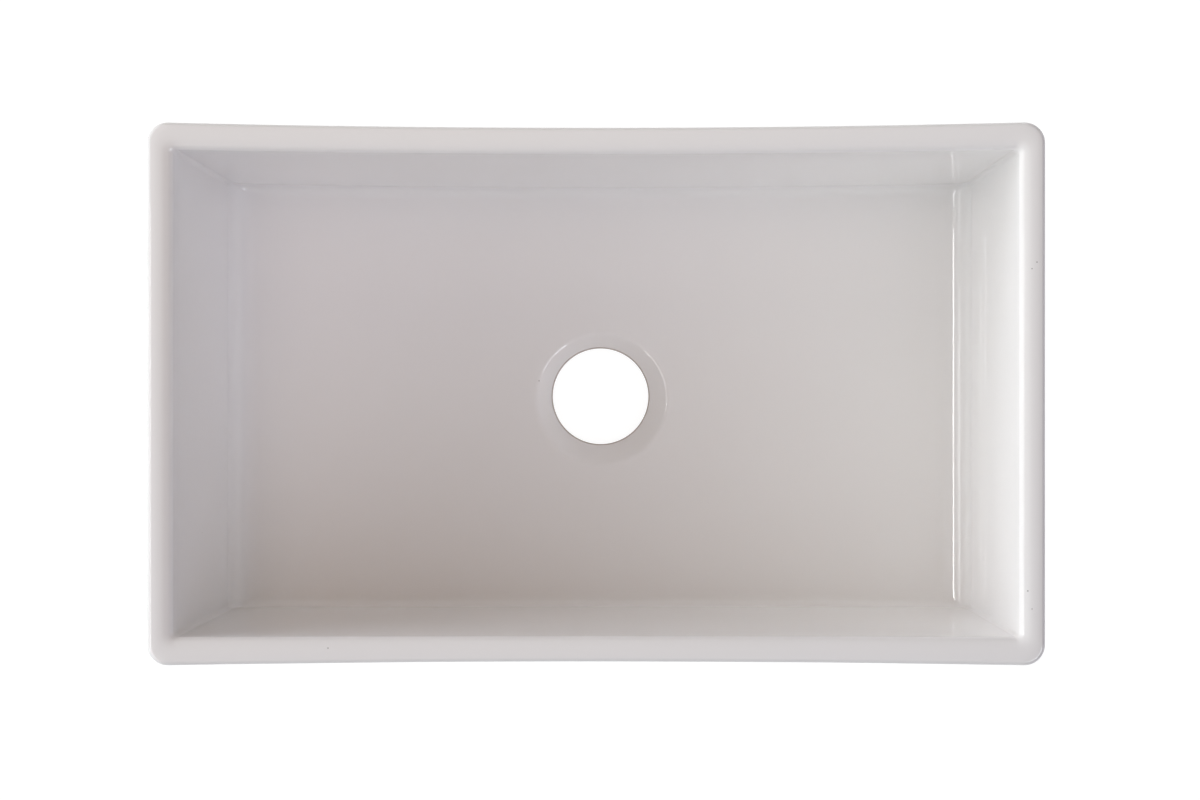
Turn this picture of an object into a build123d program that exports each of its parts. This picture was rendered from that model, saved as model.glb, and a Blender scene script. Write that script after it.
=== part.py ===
from build123d import *
import os
from math import hypot, radians, tan

# A single-bowl apron front sink: one clay casting, and the glaze that is fired onto it.
# Millimetres. The origin is on the base, below the middle of the sink. +X is to the right of someone
# who stands at the apron, +Y is towards the wall behind the sink, and +Z is up.

# outside
length = 762.0  # along the apron
depth = 461.7  # front to back, at the two ends
height = 254.0
back_bow = 5.0  # how far the back is drawn in at mid-length
front_bow = 3.6  # the same for the apron
outer_corner = 18.0  # upright corners
base_round = 8.0  # edge between the walls and the base

# rim and walls, measured at the rim
end_wall = 21.4  # thickness of the two end walls
apron_wall = 24.1  # thickness of the apron, at its ends
back_wall = 22.7  # the same for the back
rim_outer_round = 4.5
rim_inner_round = 9.0

# bowl
bowl_back_bow = 4.3  # how far the bowl's back wall is drawn in at mid-length
bowl_front_bow = 0.7
end_lean = 13.0  # how far an end wall leans in, from rim to floor
long_lean = 8.0  # the same for the apron and the back
end_floor_round = 26.0  # rounding between an end wall and the floor
long_floor_round = 12.0  # the same for the apron and the back
floor_slope = 0.85  # fall of the floor towards the waste, in degrees

# waste hole
waste_radius = 45.5
waste_edge_round = 3.0
funnel_run = 16.5  # how much wider the funnel is than the hole, all round
funnel_drop = 12.0
funnel_lip_round = 8.0
funnel_right = 1.2  # how far the funnel's middle lies to the right of the hole's
funnel_forward = 2.7  # the same towards the apron

# underside
foot_height = 6.0  # the middle of the base is raised by this much
foot_width = 38.0  # from the outer face to the raised middle, at the ends
foot_corner = 24.0
foot_round = 1.5
floor_thickness = 20.0  # beside the funnel
seat_level = 2.0  # the waste's seat, above the surface that the sink stands on
seat_width = 18.0

# glaze
glaze_thickness = 0.8
glaze_stop = 4.0  # the glaze is wiped back to this height above the base

# worked out from the sizes above
floor_level = foot_height + floor_thickness
throat_level = floor_level - funnel_drop
funnel_radius = waste_radius + funnel_run
seat_radius = waste_radius + seat_width
funnel_slope = funnel_drop / funnel_run
funnel_depth = waste_radius - hypot(funnel_right, funnel_forward)  # radius where the funnel's slope ends
funnel_axis = Axis((funnel_right, -funnel_forward, 0), (0, 0, 1))
funnel_plane = Plane((funnel_right, -funnel_forward, 0), x_dir=(0, 1, 0), z_dir=(1, 0, 0))
overrun = floor_level  # how far a cutting shape runs past the faces that it cuts
reach = length + depth  # wider than the bowl in every direction


def bowed_plan(level, front, back, front_drawn, back_drawn):
    """A rectangle as long as the sink, from front to back, with its long sides drawn in."""
    x = length / 2
    with BuildSketch(Plane.XY.offset(level)) as plan:
        with BuildLine():
            ThreePointArc((-x, front), (0, front + front_drawn), (x, front))
            Line((x, front), (x, back))
            ThreePointArc((x, back), (0, back - back_drawn), (-x, back))
            Line((-x, back), (-x, front))
        make_face()
    return plan.sketch


def lean_share(level):
    """How much of the walls' whole lean lies between the rim and one height."""
    return (height - level) / (height - floor_level)


def between_long_walls(grow):
    """The space between the leaning apron and back, as long as the sink."""
    plans = []
    for level in (-overrun, height + overrun):
        front = apron_wall + long_lean * lean_share(level) - grow - depth / 2
        back = depth / 2 + grow - back_wall - long_lean * lean_share(level)
        plans.append(bowed_plan(level, front, back, bowl_front_bow, bowl_back_bow))
    with BuildPart() as space:
        loft(plans, ruled=True)
    return space.part


def between_end_walls(grow):
    """The space between the two leaning end walls, wider than the sink."""
    low = length / 2 + grow - end_wall - end_lean * lean_share(-overrun)
    high = length / 2 + grow - end_wall - end_lean * lean_share(height + overrun)
    with BuildPart() as space:
        with BuildSketch(Plane.XZ):
            with BuildLine():
                Polyline(
                    (-low, -overrun),
                    (low, -overrun),
                    (high, height + overrun),
                    (-high, height + overrun),
                    close=True,
                )
            make_face()
        extrude(amount=depth, both=True)
    return space.part


def open_profile(grow):
    """Rear half of the open space over the floor and in the funnel."""
    rise = (reach - funnel_radius) * tan(radians(floor_slope))
    with BuildSketch(funnel_plane) as profile:
        with BuildLine():
            Polyline(
                (0, -overrun),
                (funnel_depth, -overrun),
                (funnel_depth, throat_level - (waste_radius - funnel_depth) * funnel_slope),
                (funnel_radius, floor_level),
                (reach, floor_level + rise),
                (reach, height + overrun),
                (0, height + overrun),
                close=True,
            )
        make_face()
        funnel_lip = profile.vertices().sort_by_distance((funnel_radius, floor_level))[0]
        fillet(funnel_lip, funnel_lip_round)
        if grow:
            offset(amount=grow)
            Rectangle(3 * reach, 3 * reach, align=(Align.MIN, Align.CENTER), mode=Mode.INTERSECT)
    return profile.sketch


def over_floor(walls, at_foot, foot_round, grow):
    """The part of a space between two walls that lies over the floor, with a rounding at their feet."""
    profile = open_profile(grow)
    with BuildPart() as space:
        add(walls)
        revolve(profile, axis=funnel_axis, mode=Mode.INTERSECT)
        floor = space.faces().filter_by(GeomType.CONE).sort_by(SortBy.AREA)[-1]
        fillet(floor.outer_wire().edges().filter_by(at_foot), foot_round + grow)
    return space.part


def bowl_hollow(grow):
    """The open space of the bowl, the funnel and the waste hole, larger by grow on every side."""
    ends = over_floor(
        between_end_walls(grow), lambda edge: abs(edge.center().X) > length / 4, end_floor_round, grow
    )
    sides = over_floor(
        between_long_walls(grow), lambda edge: abs(edge.center().Y) > depth / 3, long_floor_round, grow
    )
    with BuildPart() as hollow:
        add(ends)
        add(sides, mode=Mode.INTERSECT)
        with BuildSketch(Plane.XY.offset(-overrun)):
            Circle(waste_radius + grow)
        extrude(amount=throat_level + overrun + waste_edge_round)
        funnel = hollow.faces().filter_by(GeomType.CONE).sort_by(SortBy.AREA)[0]
        fillet(funnel.edges().sort_by(Axis.Z)[0], waste_edge_round - grow)
    return hollow.part


def casting(inset):
    """The sink with a plain base. Every other face is drawn in by inset."""
    hollow = bowl_hollow(inset)
    with BuildPart() as cast:
        with BuildSketch() as plan:
            add(bowed_plan(0, -depth / 2, depth / 2, front_bow, back_bow))
            fillet(plan.vertices(), outer_corner)
            if inset:
                offset(amount=-inset, mode=Mode.REPLACE)
        extrude(amount=height - inset)
        fillet(cast.faces().sort_by(Axis.Z)[-1].edges(), rim_outer_round - inset)
        fillet(cast.faces().sort_by(Axis.Z)[0].edges(), base_round - inset)
        add(hollow, mode=Mode.SUBTRACT)
        rim = cast.faces().sort_by(Axis.Z)[-1]
        fillet(rim.inner_wires().edges(), rim_inner_round - inset)
    return cast.part


raw_casting = casting(glaze_thickness)
glazed_casting = casting(0)

# The fired clay. Its base is raised in the middle, so that the sink stands on a ground foot all round,
# and a ring round the waste hole stands down from the raised part as a seat for the waste.
with BuildPart() as fireclay_body:
    add(raw_casting)
    with BuildSketch(Plane.XY):
        RectangleRounded(length - 2 * foot_width, depth - 2 * foot_width, foot_corner)
    extrude(amount=seat_level, mode=Mode.SUBTRACT)
    with BuildSketch(Plane.XY.offset(seat_level)):
        RectangleRounded(length - 2 * foot_width, depth - 2 * foot_width, foot_corner)
        Circle(seat_radius, mode=Mode.SUBTRACT)
    extrude(amount=foot_height - seat_level, mode=Mode.SUBTRACT)
    underside = fireclay_body.faces().filter_by(GeomType.PLANE).filter_by(Axis.Z).sort_by(Axis.Z)
    fillet(underside[0].inner_wires().edges(), foot_round)
    fillet(underside[1].outer_wire().edges(), foot_round)

# The glaze: a thin glassy skin over all that shows, down to a line just above the base.
with BuildPart() as glaze:
    add(glazed_casting)
    split(bisect_by=Plane.XY.offset(glaze_stop), keep=Keep.TOP)
    add(raw_casting, mode=Mode.SUBTRACT)

os.makedirs("parts", exist_ok=True)
fireclay_body.part.label = "fireclay_body"
glaze.part.label = "glaze"
export_step(fireclay_body.part, "parts/fireclay_body.step")
export_step(glaze.part, "parts/glaze.step")
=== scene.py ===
from math import asin, atan2, cos, hypot, pi, radians, sin, tan

import bmesh
import bpy
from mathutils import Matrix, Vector, noise


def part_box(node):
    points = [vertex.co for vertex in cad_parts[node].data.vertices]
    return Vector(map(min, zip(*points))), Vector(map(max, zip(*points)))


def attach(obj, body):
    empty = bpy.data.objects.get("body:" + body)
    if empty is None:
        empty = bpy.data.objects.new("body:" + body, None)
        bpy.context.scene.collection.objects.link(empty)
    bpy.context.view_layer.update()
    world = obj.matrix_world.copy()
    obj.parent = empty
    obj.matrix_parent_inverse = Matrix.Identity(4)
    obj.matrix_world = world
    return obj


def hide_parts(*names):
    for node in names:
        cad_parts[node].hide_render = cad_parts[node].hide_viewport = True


bl_info = {
    "name": "Apron Front Sink",
    "version": (1, 0, 0),
    "blender": (4, 5, 0),
    "location": "3D View > Sidebar > Sink",
    "description": "Glaze, bare clay and a plain studio for a one-piece apron front sink",
    "category": "Object",
}

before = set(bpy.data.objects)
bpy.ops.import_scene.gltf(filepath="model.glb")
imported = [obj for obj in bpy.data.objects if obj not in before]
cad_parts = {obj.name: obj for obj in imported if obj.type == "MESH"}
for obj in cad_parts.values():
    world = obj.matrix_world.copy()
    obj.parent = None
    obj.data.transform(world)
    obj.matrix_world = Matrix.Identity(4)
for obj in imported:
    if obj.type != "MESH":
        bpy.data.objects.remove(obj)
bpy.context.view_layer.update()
GLAZE_LOW, GLAZE_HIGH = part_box("glaze")

# From the frame: half the sink's length, the height of its rim, and the height where its glaze stops.
HALF_LENGTH = GLAZE_HIGH[0]
SINK_TOP = GLAZE_HIGH[2]
GLAZE_FOOT = GLAZE_LOW[2]

# How many steps the glaze's skin has along each corner, end and long wall.
CORNER_STEPS = 18
END_STEPS = 34
LONG_STEPS = 52

# How many steps it has across each of its parts, from the glaze's foot outside to its foot in the throat.
FOOT_ROUND_STEPS = 4
OUTSIDE_STEPS = 15
RIM_STEPS = (9, 8, 7, 11)
WALL_STEPS = 18
END_ROUND_STEPS = 24
LONG_ROUND_STEPS = 14
FLOOR_STEPS = 18
LIP_STEPS = 8
SLOPE_STEPS = 4
WASTE_EDGE_STEPS = 7
THROAT_STEPS = 3

# Half the length and depth of the oval over which the skin's lines spread from the funnel.
SPREAD = (0.32, 0.19)

# The waver: how tight its waves are, an offset that picks them, the height at which it begins in the bowl,
# and how far below that it has its full size.
WAVER_SCALE = 9.0
WAVER_START = Vector((3.1, 7.7, 1.3))
WAVER_TOP = SINK_TOP - 0.002
WAVER_FADE = 0.03

# The space in which the waver goes towards the open bowl: half its length and depth, and its lowest height.
BOWL_HALF = (HALF_LENGTH - 0.018, 0.211)
BOWL_LOW = 0.02

# Half the width of the studio's floor.
FLOOR_REACH = 8


def length_prop(name, description, default):
    """A length in metres that the panel shows with its unit."""
    return bpy.props.FloatProperty(
        name=name, description=description, default=default, unit="LENGTH", precision=4
    )


def angle_prop(name, description, degrees):
    """An angle that the panel shows in degrees."""
    return bpy.props.FloatProperty(
        name=name, description=description, default=radians(degrees), subtype="ANGLE"
    )


def power_prop(name, description, default):
    """A lamp's power in watts."""
    return bpy.props.FloatProperty(name=name, description=description, default=default, unit="POWER")


def colour_prop(name, description, default):
    """A colour that the panel shows as a swatch."""
    return bpy.props.FloatVectorProperty(
        name=name, description=description, default=default, subtype="COLOR", size=3, min=0, max=1
    )


class SinkGlazeShape(bpy.types.PropertyGroup):
    """Sizes of the glazed surface: apron, rim, bowl, funnel and throat."""

    depth: length_prop("Depth", "Front to back, at the two ends", 0.4617)
    front_bow: length_prop("Apron bow", "How far the apron is drawn in at mid-length", 0.0036)
    back_bow: length_prop("Back bow", "How far the back is drawn in at mid-length", 0.0050)
    outer_corner: length_prop("Outer corner", "Radius of the upright corners outside", 0.018)
    base_round: length_prop("Base round", "Radius between the walls and the base", 0.008)
    end_wall: length_prop("End wall", "Thickness of an end wall at the rim", 0.0214)
    apron_wall: length_prop("Apron wall", "Thickness of the apron at the rim, at its ends", 0.0241)
    back_wall: length_prop("Back wall", "Thickness of the back at the rim, at its ends", 0.0227)
    rim_outer_round: length_prop("Rim outer round", "Radius of the rim's outer edge", 0.0045)
    rim_shoulder_round: length_prop("Rim shoulder round", "Radius of the rim's soft shoulder", 0.018)
    rim_inner_round: length_prop("Rim inner round", "Radius between the shoulder and a bowl wall", 0.0065)
    rim_outer_tilt: angle_prop("Rim outer tilt", "Slope of the rim's top where the outer edge begins", 8)
    rim_inner_tilt: angle_prop("Rim inner tilt", "Slope of the rim's top where the shoulder begins", 5)
    rim_shoulder_tilt: angle_prop("Rim shoulder tilt", "Slope where the rim's inner edge begins", 25)
    bowl_front_bow: length_prop("Bowl front bow", "How far the bowl's front wall is drawn in", 0.0007)
    bowl_back_bow: length_prop("Bowl back bow", "How far the bowl's back wall is drawn in", 0.0043)
    end_lean: length_prop("End lean", "How far an end wall leans in, from rim to floor", 0.013)
    long_lean: length_prop("Long lean", "The same for the apron and the back", 0.008)
    bowl_corner: length_prop("Bowl corner", "Radius of the creases between the bowl's walls", 0.0045)
    end_round: length_prop("End floor round", "Radius between an end and the floor", 0.026)
    long_round: length_prop("Long floor round", "Radius between a long wall and the floor", 0.012)
    floor_level: length_prop("Floor level", "Height of the floor beside the funnel", 0.026)
    floor_slope: angle_prop("Floor slope", "Fall of the floor towards the waste", 0.85)
    waste_radius: length_prop("Waste radius", "Radius of the waste hole", 0.0455)
    waste_edge: length_prop("Waste edge", "Rounding at the top of the waste hole", 0.003)
    funnel_run: length_prop("Funnel run", "How much wider the funnel is than the hole", 0.0165)
    funnel_drop: length_prop("Funnel drop", "How deep the funnel is", 0.012)
    funnel_lip: length_prop("Funnel lip", "Rounding between the floor and the funnel", 0.008)
    funnel_right: length_prop("Funnel right", "How far the funnel is to the right of the hole", 0.0012)
    funnel_forward: length_prop("Funnel forward", "The same towards the apron", 0.0027)
    skin: length_prop("Skin", "Thickness of the glaze", 0.0007)
    waver: length_prop("Waver", "How far the hand-finished surface strays from true", 0.00022)


class SinkFinish(bpy.types.PropertyGroup):
    """Colours of the glaze and of the bare clay, and the brown shade painted down the waste hole and round
    its edge.
    """

    glaze: colour_prop("Glaze", "The glaze where it lies thick", (0.940, 0.928, 0.922))
    glaze_cool: colour_prop("Glaze, cool", "The glaze's cooler clouds", (0.935, 0.926, 0.929))
    # Painted shade: a dark brown that stands in for the shade down the waste hole and on its edge.
    painted_waste_shade: colour_prop("Painted waste shade", "Brown shade painted down the waste hole and round its edge", (0.42, 0.34, 0.29))
    pinhole: colour_prop("Pinhole", "A pinhole in the glaze", (0.16, 0.13, 0.12))
    shade_fade_from: length_prop("Shade fade from", "Radius round the waste out to which the painted shade is full", 0.0459)
    shade_fade_to: length_prop("Shade fade to", "Radius round the waste where the painted shade has faded out", 0.0472)
    clay: colour_prop("Clay", "The fired clay", (0.56, 0.46, 0.34))
    clay_dark: colour_prop("Clay, dark", "Darker grit in the clay", (0.30, 0.22, 0.15))


class SinkStudio(bpy.types.PropertyGroup):
    """The camera and the light."""

    camera_height: length_prop("Camera height", "Height of the lens above the base", 2.154)
    camera_x: length_prop("Camera right", "How far the lens is to the right of the sink's middle", 0.0338)
    camera_y: length_prop("Camera back", "How far the lens is behind the sink's middle", -0.0188)
    lens: bpy.props.FloatProperty(name="Lens", description="Focal length", default=67.33, unit="CAMERA")
    frame_right: bpy.props.FloatProperty(
        name="Frame right", description="Shift of the frame to the right, in widths", default=-0.030
    )
    frame_up: bpy.props.FloatProperty(
        name="Frame up", description="Shift of the frame upwards, in widths", default=0.01333, precision=4
    )
    soft_light: bpy.props.FloatProperty(
        name="Soft light", description="Strength of the soft light from all round", default=1.0
    )
    reflected_light: bpy.props.FloatProperty(
        name="Reflected light", description="Share of the soft light that reflections show", default=0.2
    )
    back_lamp: power_prop("Back lamp", "Lamp behind the sink", 2.9)
    top_lamp: power_prop("Top lamp", "Warm lamp above the left half", 2.9)
    high_strip: power_prop("High strip", "Strip high on the left, which only shows as a reflection", 24)
    low_strip: power_prop("Low strip", "Strip low on the left, which only shows as a reflection", 8)
    front_lamp: power_prop("Front lamp", "Lamp at the front right, which only shows as a reflection", 20)


def outline_slots(corner_steps, end_steps, long_steps):
    """The places round an outline, counter-clockwise: which part of it, and how far along that part."""
    slots = []
    for part in range(8):
        steps = corner_steps if part % 2 else (long_steps if part % 4 == 2 else end_steps)
        slots.extend((part, i / steps) for i in range(steps))
    return slots


def share_of_end(slot):
    """1 on the end walls, 0 on the long walls, and a smooth change round the corners."""
    part, along = slot
    if part % 2 == 0:
        return 1.0 if part % 4 == 0 else 0.0
    eased = along * along * (3 - 2 * along)
    return 1 - eased if part % 4 == 1 else eased


def on_outline(slot, half_x, front, back, corner):
    """The point of a rectangle with round corners that belongs to a slot."""
    part, along = slot
    turn = pi / 2 * along
    if part == 0:
        return half_x, front + corner + (back - front - 2 * corner) * along
    if part == 1:
        return half_x - corner * (1 - cos(turn)), back - corner * (1 - sin(turn))
    if part == 2:
        return (half_x - corner) * (1 - 2 * along), back
    if part == 3:
        return corner * (1 - sin(turn)) - half_x, back - corner * (1 - cos(turn))
    if part == 4:
        return -half_x, back - corner + (front - back + 2 * corner) * along
    if part == 5:
        return corner * (1 - cos(turn)) - half_x, front + corner * (1 - sin(turn))
    if part == 6:
        return (half_x - corner) * (2 * along - 1), front
    return half_x - corner * (1 - sin(turn)), front + corner * (1 - cos(turn))


def out_of_outline(slot):
    """The direction in which a slot's stretch of an outline faces."""
    part, along = slot
    turn = pi / 2 * (part // 2 + (along if part % 2 else 0))
    return Vector((cos(turn), sin(turn), 0))


def bowed(x, y, front, back, front_bow, back_bow):
    """Draws the long sides in, most at mid-length."""
    middle = 1 - (x / HALF_LENGTH) ** 2
    towards_back = (y - front) / (back - front)
    return y + middle * (front_bow * (1 - towards_back) - back_bow * towards_back)


def in_from_wall(above, radius, lean):
    """How far a rounding at a leaning wall's foot stands in from the wall, so far above the floor."""
    if above >= radius * (1 - sin(lean)):
        return 0.0
    middle = radius * (1 - sin(lean)) / cos(lean)
    return middle - (radius**2 - (radius - above) ** 2) ** 0.5 + above * tan(lean)


class GlazeSurface:
    """Where each ring of the glazed surface lies."""

    def __init__(self, shape):
        self.s = shape
        self.end_angle = atan2(shape.end_lean, SINK_TOP - shape.floor_level)
        self.long_angle = atan2(shape.long_lean, SINK_TOP - shape.floor_level)

    def floor_height(self, x, y):
        """Height of the sloping floor."""
        s = self.s
        away = hypot(x - s.funnel_right, y + s.funnel_forward) - s.waste_radius - s.funnel_run
        return s.floor_level + max(0.0, away) * tan(s.floor_slope)

    def lean_at(self, slot):
        """How far the bowl wall at a slot leans from upright, as an angle."""
        end = share_of_end(slot)
        return self.end_angle * end + self.long_angle * (1 - end)

    def outside(self, slot, inset, z):
        """A point on the outer walls and their two roundings."""
        s = self.s
        front = inset - s.depth / 2
        back = s.depth / 2 - inset
        x, y = on_outline(slot, HALF_LENGTH - inset, front, back, s.outer_corner - inset)
        return Vector((x, bowed(x, y, front, back, s.front_bow, s.back_bow), z))

    def in_bowl(self, slot, z, end_in, long_in):
        """A point on the bowl's walls, or in from them by so much at the ends and at the long walls."""
        s = self.s
        down = (SINK_TOP - z) / (SINK_TOP - s.floor_level)
        half_x = HALF_LENGTH - s.end_wall - s.end_lean * down - end_in
        front = s.apron_wall + s.long_lean * down + long_in - s.depth / 2
        back = s.depth / 2 - s.back_wall - s.long_lean * down - long_in
        x, y = on_outline(slot, half_x, front, back, s.bowl_corner)
        return Vector((x, bowed(x, y, front, back, s.bowl_front_bow, s.bowl_back_bow), z))

    def across_rim(self, slot, stretch, share):
        """A point on the rim: its outer edge, crown, shoulder and inner edge are stretches 0 to 3."""
        s = self.s
        outer = self.outside(slot, 0, SINK_TOP)
        inner = self.in_bowl(slot, SINK_TOP, 0, 0)
        wall = (outer - inner).dot(out_of_outline(slot))
        lean = self.lean_at(slot)
        slopes = (pi / 2, s.rim_outer_tilt, -s.rim_inner_tilt, -s.rim_shoulder_tilt, lean - pi / 2)
        slope = slopes[stretch] + (slopes[stretch + 1] - slopes[stretch]) * share
        run, z = self.rim_section(wall, lean, stretch, slope)
        place = outer.lerp(inner, run / wall)
        place.z = z
        return place

    def rim_section(self, wall, lean, stretch, slope):
        """How far in from the outer face, and how high, the rim is where it has a certain slope."""
        s = self.s
        tilts = (s.rim_outer_tilt, -s.rim_inner_tilt, -s.rim_shoulder_tilt, lean - pi / 2)
        rounds = [s.rim_outer_round, 0.0, s.rim_shoulder_round, s.rim_inner_round]
        drop = rounds[2] * (cos(tilts[1]) - cos(tilts[2]))
        drop += rounds[3] * (cos(tilts[2]) - cos(tilts[3]))
        runs = [rounds[0] * (1 - sin(tilts[0])), 0.0, rounds[2] * (sin(tilts[1]) - sin(tilts[2]))]
        inner_run = rounds[3] * (sin(tilts[2]) - sin(tilts[3]))
        runs[1] = wall + drop * tan(lean) - runs[0] - runs[2] - inner_run
        rounds[1] = runs[1] / (sin(tilts[0]) - sin(tilts[1]))
        if stretch == 0:
            edge_z = SINK_TOP - rounds[1] * (1 - cos(tilts[0]))
            return rounds[0] * (1 - sin(slope)), edge_z - rounds[0] * (cos(tilts[0]) - cos(slope))
        run = runs[0]
        z = SINK_TOP - rounds[1] * (1 - cos(tilts[0]))
        for i in range(1, stretch):
            run += runs[i]
            z -= rounds[i] * (cos(tilts[i - 1]) - cos(tilts[i]))
        run += rounds[stretch] * (sin(tilts[stretch - 1]) - sin(slope))
        return run, z - rounds[stretch] * (cos(tilts[stretch - 1]) - cos(slope))

    def local_floor(self, slot):
        """Height of the floor below a slot of the bowl's walls."""
        foot = self.in_bowl(slot, self.s.floor_level, 0, 0)
        return self.floor_height(foot.x, foot.y)

    def wall_foot(self):
        """How high above the floor the end walls turn into their rounding."""
        return self.s.end_round * (1 - sin(self.end_angle))

    def on_wall(self, slot, share):
        """A point on a bowl wall. share goes from 0 below the rim to 1 at the foot."""
        top = self.across_rim(slot, 3, 1).z
        z = top + (self.local_floor(slot) + self.wall_foot() - top) * share
        return self.in_bowl(slot, z, 0, 0)

    def on_floor_round(self, slot, above):
        """A point on the roundings at the feet of the walls, so far above the floor."""
        end_in = in_from_wall(above, self.s.end_round, self.end_angle)
        long_in = in_from_wall(above, self.s.long_round, self.long_angle)
        place = self.in_bowl(slot, self.local_floor(slot) + above, end_in, long_in)
        place.z = self.floor_height(place.x, place.y) + above
        return place

    def round_heights(self):
        """Heights above the floor at which rings lie on the two roundings, from the top down."""
        heights = []
        ends = (self.s.end_round, self.end_angle, END_ROUND_STEPS)
        sides = (self.s.long_round, self.long_angle, LONG_ROUND_STEPS)
        for radius, lean, steps in (ends, sides):
            turns = [lean + (pi / 2 - lean) * i / steps for i in range(steps)]
            heights.extend(radius * (1 - sin(turn)) for turn in turns)
        return [*sorted(heights, reverse=True), 0.0]

    def ray(self, slot):
        """The direction from the funnel's middle in which a slot lies, as cosine and sine."""
        outer = self.on_floor_round(slot, 0)
        angle = atan2(outer.y / SPREAD[1], outer.x / SPREAD[0])
        return cos(angle), sin(angle)

    def in_funnel(self, slot, radius, z):
        """A point on a level circle round the funnel's middle."""
        right, back = self.ray(slot)
        return Vector((self.s.funnel_right + radius * right, radius * back - self.s.funnel_forward, z))

    def in_throat(self, slot, radius, z):
        """A point round the waste hole, which the funnel's slope meets higher on one side."""
        s = self.s
        right, back = self.ray(slot)
        away = hypot(s.waste_radius * right - s.funnel_right, s.waste_radius * back + s.funnel_forward)
        lift = (away - s.waste_radius) * s.funnel_drop / s.funnel_run
        top = s.floor_level - s.funnel_drop
        up_share = min(1.0, (z - GLAZE_FOOT) / (top - GLAZE_FOOT))
        return Vector((radius * right, radius * back, z + lift * up_share))

    def on_floor(self, slot, share):
        """A point on the floor, between its rounding and the funnel's lip."""
        lip = self.in_funnel(slot, self.lip_profile()[0][0], 0)
        x, y, _ = self.on_floor_round(slot, 0).lerp(lip, share)
        return Vector((x, y, self.floor_height(x, y)))

    def lip_profile(self):
        """Radius and height round the funnel's lip."""
        s = self.s
        steep = atan2(s.funnel_drop, s.funnel_run)
        run = s.funnel_lip * tan((steep - s.floor_slope) / 2)
        lip_r = s.waste_radius + s.funnel_run + run * cos(s.floor_slope) + s.funnel_lip * sin(s.floor_slope)
        lip_z = s.floor_level + run * sin(s.floor_slope) - s.funnel_lip * cos(s.floor_slope)
        turn = (steep - s.floor_slope) / LIP_STEPS
        turns = [s.floor_slope + turn * i for i in range(LIP_STEPS + 1)]
        return [(lip_r - s.funnel_lip * sin(turn), lip_z + s.funnel_lip * cos(turn)) for turn in turns]

    def throat_profile(self):
        """Radius and height round the waste edge and down the throat."""
        s = self.s
        steep = atan2(s.funnel_drop, s.funnel_run)
        edge_r = s.waste_radius + s.waste_edge
        edge_z = s.floor_level - s.funnel_drop - s.waste_edge * tan((pi / 2 - steep) / 2)
        turn = (pi / 2 - steep) / WASTE_EDGE_STEPS
        turns = [steep + turn * i for i in range(WASTE_EDGE_STEPS + 1)]
        edge = [(edge_r - s.waste_edge * sin(turn), edge_z + s.waste_edge * cos(turn)) for turn in turns]
        fall = (GLAZE_FOOT - edge_z) / THROAT_STEPS
        return edge + [(s.waste_radius, edge_z + fall * i) for i in range(1, THROAT_STEPS + 1)]

    def on_slope(self, slot, share):
        """A point on the funnel's slope, from the lip at 0 to the waste edge at 1."""
        lip = self.in_funnel(slot, *self.lip_profile()[-1])
        return lip.lerp(self.in_throat(slot, *self.throat_profile()[0]), share)

    def rings(self):
        """Every ring of the skin, as a function of the slot, from the glaze's foot outside to the throat."""
        s = self.s
        rings = []
        foot_turn = asin((s.base_round - GLAZE_FOOT) / s.base_round)
        for i in range(FOOT_ROUND_STEPS + 1):
            turn = foot_turn * (1 - i / FOOT_ROUND_STEPS)
            inset = s.base_round * (1 - cos(turn))
            rings.append(lambda slot, a=inset, z=s.base_round * (1 - sin(turn)): self.outside(slot, a, z))
        for i in range(1, OUTSIDE_STEPS):
            z = s.base_round + (SINK_TOP - s.rim_outer_round - s.base_round) * i / OUTSIDE_STEPS
            rings.append(lambda slot, z=z: self.outside(slot, 0, z))
        for stretch, steps in enumerate(RIM_STEPS):
            for i in range(steps):
                rings.append(lambda slot, n=stretch, t=i / steps: self.across_rim(slot, n, t))
        for i in range(WALL_STEPS):
            rings.append(lambda slot, t=i / WALL_STEPS: self.on_wall(slot, t))
        for above in self.round_heights():
            rings.append(lambda slot, h=above: self.on_floor_round(slot, h))
        for i in range(1, FLOOR_STEPS):
            rings.append(lambda slot, t=i / FLOOR_STEPS: self.on_floor(slot, t))
        for radius, z in self.lip_profile():
            rings.append(lambda slot, r=radius, z=z: self.in_funnel(slot, r, z))
        for i in range(1, SLOPE_STEPS):
            rings.append(lambda slot, t=i / SLOPE_STEPS: self.on_slope(slot, t))
        for radius, z in self.throat_profile():
            rings.append(lambda slot, r=radius, z=z: self.in_throat(slot, r, z))
        return rings


def next_ring(bm, ring):
    """Extrudes a closed ring of vertices and returns the new ring, in the same order."""
    edges = [bm.edges.get((ring[i - 1], ring[i])) for i in range(len(ring))]
    grown = bmesh.ops.extrude_edge_only(bm, edges=edges)["geom"]
    fresh = {v for v in grown if isinstance(v, bmesh.types.BMVert)}
    return [next(e.other_vert(v) for e in v.link_edges if e.other_vert(v) in fresh) for v in ring]


def add_waver(bm, amount):
    """Lets the surface stray a little, inwards outside and towards the open space inside the bowl."""
    bm.normal_update()
    moves = []
    for v in bm.verts:
        stray = 0.5 + 0.5 * noise.noise(v.co * WAVER_SCALE + WAVER_START)
        bowl = abs(v.co.x) < BOWL_HALF[0] and abs(v.co.y) < BOWL_HALF[1] and v.co.z > BOWL_LOW
        deep = min(1.0, max(0.0, (WAVER_TOP - v.co.z) / WAVER_FADE))
        moves.append(v.normal * amount * stray * (deep if bowl else -1.0))
    for v, move in zip(bm.verts, moves):
        v.co += move


def object_from(bm, name):
    """A new object in the scene from a bmesh, smooth shaded."""
    mesh = bpy.data.meshes.new(name)
    bm.to_mesh(mesh)
    bm.free()
    mesh.shade_smooth()
    piece = bpy.data.objects.new(name, mesh)
    bpy.context.scene.collection.objects.link(piece)
    return piece


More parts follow.
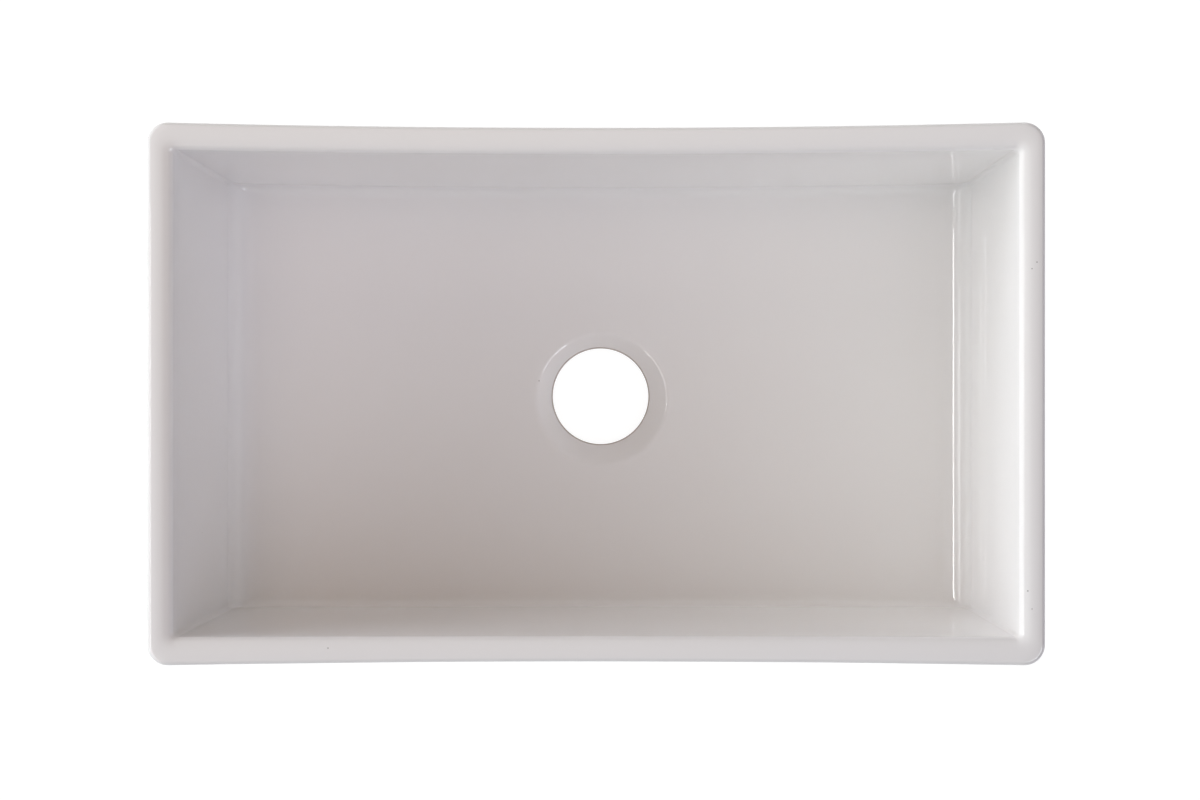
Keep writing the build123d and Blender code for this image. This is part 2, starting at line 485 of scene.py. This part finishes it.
class NodeWork:
    """A short way to add and join the shader nodes of a material or a world."""

    def __init__(self, owner):
        self.nodes = owner.node_tree.nodes
        self.links = owner.node_tree.links
        self.nodes.clear()

    def add(self, kind, values=None, **settings):
        """Adds a node. A value that is another node's socket is linked, and any other value is set."""
        node = self.nodes.new(kind)
        for key, value in settings.items():
            setattr(node, key, value)
        for key, value in (values or {}).items():
            if isinstance(value, bpy.types.NodeSocket):
                self.links.new(value, node.inputs[key])
            else:
                node.inputs[key].default_value = value
        return node

    def noise(self, place, scale, detail, roughness):
        """Soft noise over a place."""
        values = {"Vector": place, "Scale": scale, "Detail": detail, "Roughness": roughness}
        return self.add("ShaderNodeTexNoise", values).outputs["Fac"]

    def fade(self, value, start, end, at_start, at_end):
        """A value that changes smoothly from at_start to at_end as another goes from start to end."""
        ends = {"From Min": start, "From Max": end, "To Min": at_start, "To Max": at_end}
        node = self.add("ShaderNodeMapRange", {"Value": value, **ends}, interpolation_type="SMOOTHSTEP")
        return node.outputs["Result"]


def new_material(name):
    """An empty node material."""
    material = bpy.data.materials.new(name)
    material.use_nodes = True
    return material


def rgba(colour):
    """A colour with full opacity."""
    return (*colour, 1.0)


# Pinholes and grit in the glaze: place in metres, and radius.
PINHOLES = (
    ((-0.0580, 0.0145, 0.0260), 0.0010),
    ((-0.3150, 0.2000, 0.1200), 0.0011),
    ((-0.1630, 0.2091, 0.2540), 0.0009),
    ((-0.3540, -0.1230, 0.1500), 0.0009),
    ((-0.2270, -0.2153, 0.2540), 0.0009),
    ((-0.1800, -0.2102, 0.2540), 0.0008),
    ((0.3657, -0.1670, 0.2530), 0.0009),
    ((0.3691, -0.1822, 0.2540), 0.0008),
    ((0.3733, 0.1115, 0.2540), 0.0008),
    ((0.3691, 0.1060, 0.2540), 0.0008),
)


def glaze_material(finish):
    """Thick glossy glaze: faint clouds, a fine orange peel, pinholes, and brown shade painted down the waste
    hole and round its edge.
    """
    material = new_material("glaze_gloss")
    work = NodeWork(material)
    place = work.add("ShaderNodeTexCoord").outputs["Object"]
    clouds = work.noise(place, 4.0, 2.0, 0.4)
    tone = work.add(
        "ShaderNodeMix",
        {"Factor": clouds, "A": rgba(finish.glaze), "B": rgba(finish.glaze_cool)},
        data_type="RGBA",
    )
    # Painted shade: inside the waste radius the glaze is coloured dark brown in place of the throat's shade.
    split = work.add("ShaderNodeSeparateXYZ", {"Vector": place})
    flat = work.add("ShaderNodeCombineXYZ", {"X": split.outputs["X"], "Y": split.outputs["Y"]})
    radius = work.add("ShaderNodeVectorMath", {0: flat.outputs[0]}, operation="LENGTH")
    waste_shade_mask = work.fade(radius.outputs["Value"], finish.shade_fade_from, finish.shade_fade_to, 1.0, 0.0)
    colour = work.add(
        "ShaderNodeMix",
        {"Factor": waste_shade_mask, "A": tone.outputs["Result"], "B": rgba(finish.painted_waste_shade)},
        data_type="RGBA",
    ).outputs["Result"]
    for spot, size in PINHOLES:
        away = work.add("ShaderNodeVectorMath", {0: place, 1: spot}, operation="DISTANCE")
        mask = work.fade(away.outputs["Value"], size * 0.3, size, 0.7, 0.0)
        colour = work.add(
            "ShaderNodeMix",
            {"Factor": mask, "A": colour, "B": rgba(finish.pinhole)},
            data_type="RGBA",
        ).outputs["Result"]
    peel = work.noise(place, 140.0, 1.0, 0.4)
    bump = work.add("ShaderNodeBump", {"Height": peel, "Strength": 0.03, "Distance": 0.0006})
    smear = work.noise(place, 22.0, 3.0, 0.5)
    gloss = work.fade(smear, 0.3, 0.7, 0.02, 0.04)
    shader = work.add(
        "ShaderNodeBsdfPrincipled",
        {
            "Base Color": colour,
            "Roughness": gloss,
            "IOR": 1.5,
            "Normal": bump.outputs["Normal"],
        },
    )
    work.add("ShaderNodeOutputMaterial", {"Surface": shader.outputs["BSDF"]})
    return material


def clay_material(finish):
    """Bare fired clay: buff, matte, with darker grit and open pores."""
    material = new_material("bare_fireclay")
    work = NodeWork(material)
    place = work.add("ShaderNodeTexCoord").outputs["Object"]
    cloud = work.noise(place, 12.0, 5.0, 0.6)
    grit = work.add("ShaderNodeTexVoronoi", {"Vector": place, "Scale": 420.0, "Randomness": 1.0})
    dots = work.fade(grit.outputs["Distance"], 0.12, 0.34, 0.55, 0.0)
    soft = work.fade(cloud, 0.3, 0.7, 0.0, 0.3)
    both = work.add("ShaderNodeMath", {0: dots, 1: soft}, operation="ADD")
    tone = work.add(
        "ShaderNodeMix",
        {"Factor": both.outputs["Value"], "A": rgba(finish.clay), "B": rgba(finish.clay_dark)},
        data_type="RGBA",
    )
    grain = work.noise(place, 900.0, 3.0, 0.7)
    bump = work.add("ShaderNodeBump", {"Height": grain, "Strength": 0.5, "Distance": 0.0005})
    shader = work.add(
        "ShaderNodeBsdfPrincipled",
        {"Base Color": tone.outputs["Result"], "Roughness": 0.92, "Normal": bump.outputs["Normal"]},
    )
    work.add("ShaderNodeOutputMaterial", {"Surface": shader.outputs["BSDF"]})
    return material


def floor_material():
    """A plain white floor that the camera sees as paper white, with the sink's soft shadow kept."""
    material = new_material("studio_floor")
    work = NodeWork(material)
    diffuse = work.add("ShaderNodeBsdfDiffuse", {"Color": (0.5, 0.5, 0.5, 1)})
    faint = work.add("ShaderNodeBsdfDiffuse", {"Color": (0.16, 0.16, 0.16, 1)})
    white = work.add("ShaderNodeEmission", {"Color": (1, 1, 1, 1), "Strength": 0.94})
    paper = work.add("ShaderNodeAddShader", {0: faint.outputs[0], 1: white.outputs[0]})
    path = work.add("ShaderNodeLightPath")
    seen = path.outputs["Is Camera Ray"]
    for ray in ("Is Transmission Ray", "Is Glossy Ray"):
        seen = work.add("ShaderNodeMath", {0: seen, 1: path.outputs[ray]}, operation="MAXIMUM").outputs[0]
    mix = work.add("ShaderNodeMixShader", {0: seen, 1: diffuse.outputs[0], 2: paper.outputs[0]})
    work.add("ShaderNodeOutputMaterial", {"Surface": mix.outputs[0]})
    return material


# The soft light: where the middle of each glow is, as azimuth and elevation in degrees, how tight it is,
# and its colour. Azimuth 0 is to the right of the sink and 90 is behind it.
GLOWS = (
    (180, 15, 24, (7.90, 8.40, 8.50)),
    (135, 15, 24, (2.90, 3.20, 3.55)),
    (135, 15, 6, (0.30, 0.22, 0.22)),
    (270, 50, 6, (1.14, 1.20, 1.22)),
    (315, 50, 6, (0.26, 0.20, 0.27)),
    (0, 30, 24, (0.90, 1.04, 1.28)),
    (0, 55, 24, (0.72, 0.64, 0.62)),
)


def soft_sky(strength, reflected):
    """A world with soft glows, fainter in reflections, which the camera itself sees as plain white."""
    world = bpy.data.worlds.new("studio_sky")
    world.use_nodes = True
    work = NodeWork(world)
    towards = work.add("ShaderNodeTexCoord").outputs["Generated"]
    light = work.add("ShaderNodeCombineXYZ").outputs[0]
    for azimuth, elevation, tightness, colour in GLOWS:
        flat = cos(radians(elevation))
        middle = (flat * cos(radians(azimuth)), flat * sin(radians(azimuth)), sin(radians(elevation)))
        near = work.add("ShaderNodeVectorMath", {0: towards, 1: middle}, operation="DOT_PRODUCT")
        above = work.add("ShaderNodeMath", {0: near.outputs["Value"], 1: 0.0}, operation="MAXIMUM")
        fall = work.add("ShaderNodeMath", {0: above.outputs[0], 1: float(tightness)}, operation="POWER")
        glow = work.add("ShaderNodeVectorMath", {0: colour, "Scale": fall.outputs[0]}, operation="SCALE")
        light = work.add("ShaderNodeVectorMath", {0: light, 1: glow.outputs[0]}, operation="ADD").outputs[0]
    path = work.add("ShaderNodeLightPath")
    dimmed = work.fade(path.outputs["Is Glossy Ray"], 0.0, 1.0, strength, strength * reflected)
    soft = work.add("ShaderNodeBackground", {"Color": light, "Strength": dimmed})
    paper = work.add("ShaderNodeBackground", {"Color": (1, 1, 1, 1), "Strength": 1.0})
    seen = path.outputs["Is Camera Ray"]
    mix = work.add("ShaderNodeMixShader", {0: seen, 1: soft.outputs[0], 2: paper.outputs[0]})
    work.add("ShaderNodeOutputWorld", {"Surface": mix.outputs[0]})
    return world


# The lamps that light the sink: place, the point that each looks at, its length and width, and its colour.
LAMPS = {
    "back_lamp": ((0, 1.3, 1.3), (0, 0, 0.15), (1.4, 1.0), (1, 0.93, 0.72)),
    "top_lamp": ((-0.5, 0.3, 1.9), (0, 0, 0.15), (1.0, 1.0), (1, 0.60, 0.32)),
}

# The lamps that only show as reflections. The two strips draw the lines along the foot of the right end.
# Each stands to the left of the point that it looks at, at an angle in degrees, and has its own width.
STRIP_AWAY = 3.0
STRIP_LENGTH = 2.4
STRIPS = {
    "high_strip": ((0.34, -0.83, 0.04), 43.85, 0.20),
    "low_strip": ((0.34, -0.95, 0.04), 18.43, 0.12),
}
FRONT_LAMP = ((1.55, -1.25, 1.90), (0, 0, 0.05), (1.3, 0.5), (0.9, 0.95, 1))


def area_lamp(name, place, aim, size, power, colour):
    """A rectangular soft lamp that points from one place at another. size is its length, then its width."""
    lamp = bpy.data.lights.new(name, "AREA")
    lamp.shape = "RECTANGLE"
    lamp.size = size[0]
    lamp.size_y = size[1]
    lamp.energy = power
    lamp.color = colour
    holder = bpy.data.objects.new(name, lamp)
    holder.location = place
    holder.rotation_euler = (Vector(aim) - Vector(place)).to_track_quat("-Z", "Y").to_euler()
    bpy.context.scene.collection.objects.link(holder)
    return holder


def place_lamps(studio):
    """All the lamps, with the powers that the panel shows."""
    for name, (place, aim, size, colour) in LAMPS.items():
        lamp = area_lamp(name, place, aim, size, getattr(studio, name), colour)
        lamp.visible_glossy = False
    for name, (aim, angle, width) in STRIPS.items():
        turn = radians(angle)
        place = Vector(aim) + STRIP_AWAY * Vector((-cos(turn), 0, sin(turn)))
        strip = area_lamp(name, place, aim, (STRIP_LENGTH, width), getattr(studio, name), (1, 1, 1))
        strip.visible_diffuse = False
    place, aim, size, colour = FRONT_LAMP
    front = area_lamp("front_lamp", place, aim, size, studio.front_lamp, colour)
    front.visible_diffuse = False


def place_camera(studio):
    """The camera, which looks straight down."""
    lens = bpy.data.cameras.new("camera")
    lens.lens = studio.lens
    lens.sensor_width = 36
    lens.shift_x = studio.frame_right
    lens.shift_y = studio.frame_up
    lens.clip_end = 50
    camera = bpy.data.objects.new("camera", lens)
    camera.location = (studio.camera_x, studio.camera_y, studio.camera_height)
    bpy.context.scene.collection.objects.link(camera)
    return camera


class SINK_OT_glaze_skin(bpy.types.Operator):
    """Make the glaze: one skin over the apron, the rim, the bowl, the funnel and the throat"""

    bl_idname = "sink.glaze_skin"
    bl_label = "Glaze"

    def execute(self, context):
        shape = context.scene.sink_glaze_shape
        slots = outline_slots(CORNER_STEPS, END_STEPS, LONG_STEPS)
        surface = GlazeSurface(shape)
        rings = surface.rings()
        bm = bmesh.new()
        ring = bmesh.ops.create_circle(bm, segments=len(slots), radius=shape.depth, cap_ends=False)["verts"]
        for number, place in enumerate(rings):
            if number:
                ring = next_ring(bm, ring)
            for v, slot in zip(ring, slots):
                v.co = place(slot)
        bm.normal_update()
        bmesh.ops.recalc_face_normals(bm, faces=bm.faces[:])
        rim_top = max(bm.faces, key=lambda face: face.calc_center_median().z)
        if rim_top.normal.z < 0:
            bmesh.ops.reverse_faces(bm, faces=bm.faces[:])
        add_waver(bm, shape.waver)
        skin = object_from(bm, "glaze_skin")
        thick = skin.modifiers.new("skin", "SOLIDIFY")
        thick.thickness = shape.skin
        thick.offset = -1
        skin.data.materials.append(glaze_material(context.scene.sink_finish))
        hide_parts("glaze")
        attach(skin, "root")
        return {"FINISHED"}


class SINK_OT_bare_clay(bpy.types.Operator):
    """Finish the fired clay body, which shows underneath, where the glaze is wiped away"""

    bl_idname = "sink.bare_clay"
    bl_label = "Bare clay"

    def execute(self, context):
        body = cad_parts["fireclay_body"]
        clay = clay_material(context.scene.sink_finish)
        for slot in body.material_slots:
            slot.material = clay
        return {"FINISHED"}


class SINK_OT_studio(bpy.types.Operator):
    """Set up the floor, the soft light and the camera that looks straight down"""

    bl_idname = "sink.studio"
    bl_label = "Studio"

    def execute(self, context):
        scene = context.scene
        studio = scene.sink_studio
        bm = bmesh.new()
        bmesh.ops.create_grid(bm, x_segments=1, y_segments=1, size=FLOOR_REACH)
        floor = object_from(bm, "studio_floor")
        floor.data.materials.append(floor_material())

        scene.world = soft_sky(studio.soft_light, studio.reflected_light)
        place_lamps(studio)
        scene.camera = place_camera(studio)
        scene.view_settings.view_transform = "Standard"
        return {"FINISHED"}


class SINK_PT_panel(bpy.types.Panel):
    """The sink's steps and settings"""

    bl_label = "Apron Front Sink"
    bl_idname = "SINK_PT_panel"
    bl_space_type = "VIEW_3D"
    bl_region_type = "UI"
    bl_category = "Sink"

    def draw(self, context):
        scene = context.scene
        for operator in STEPS:
            self.layout.operator(operator.bl_idname)
        for group in (scene.sink_glaze_shape, scene.sink_finish, scene.sink_studio):
            box = self.layout.box()
            for key in group.__annotations__:
                box.prop(group, key)


STEPS = (SINK_OT_glaze_skin, SINK_OT_bare_clay, SINK_OT_studio)
GROUPS = {
    "sink_glaze_shape": SinkGlazeShape,
    "sink_finish": SinkFinish,
    "sink_studio": SinkStudio,
}


def register():
    for cls in (*GROUPS.values(), *STEPS, SINK_PT_panel):
        bpy.utils.register_class(cls)
    for name, cls in GROUPS.items():
        setattr(bpy.types.Scene, name, bpy.props.PointerProperty(type=cls))


def unregister():
    for name in GROUPS:
        delattr(bpy.types.Scene, name)
    for cls in (SINK_PT_panel, *reversed(STEPS), *GROUPS.values()):
        bpy.utils.unregister_class(cls)


def main():
    register()
    bpy.ops.sink.glaze_skin()
    bpy.ops.sink.bare_clay()
    bpy.ops.sink.studio()


if __name__ == "__main__":
    main()
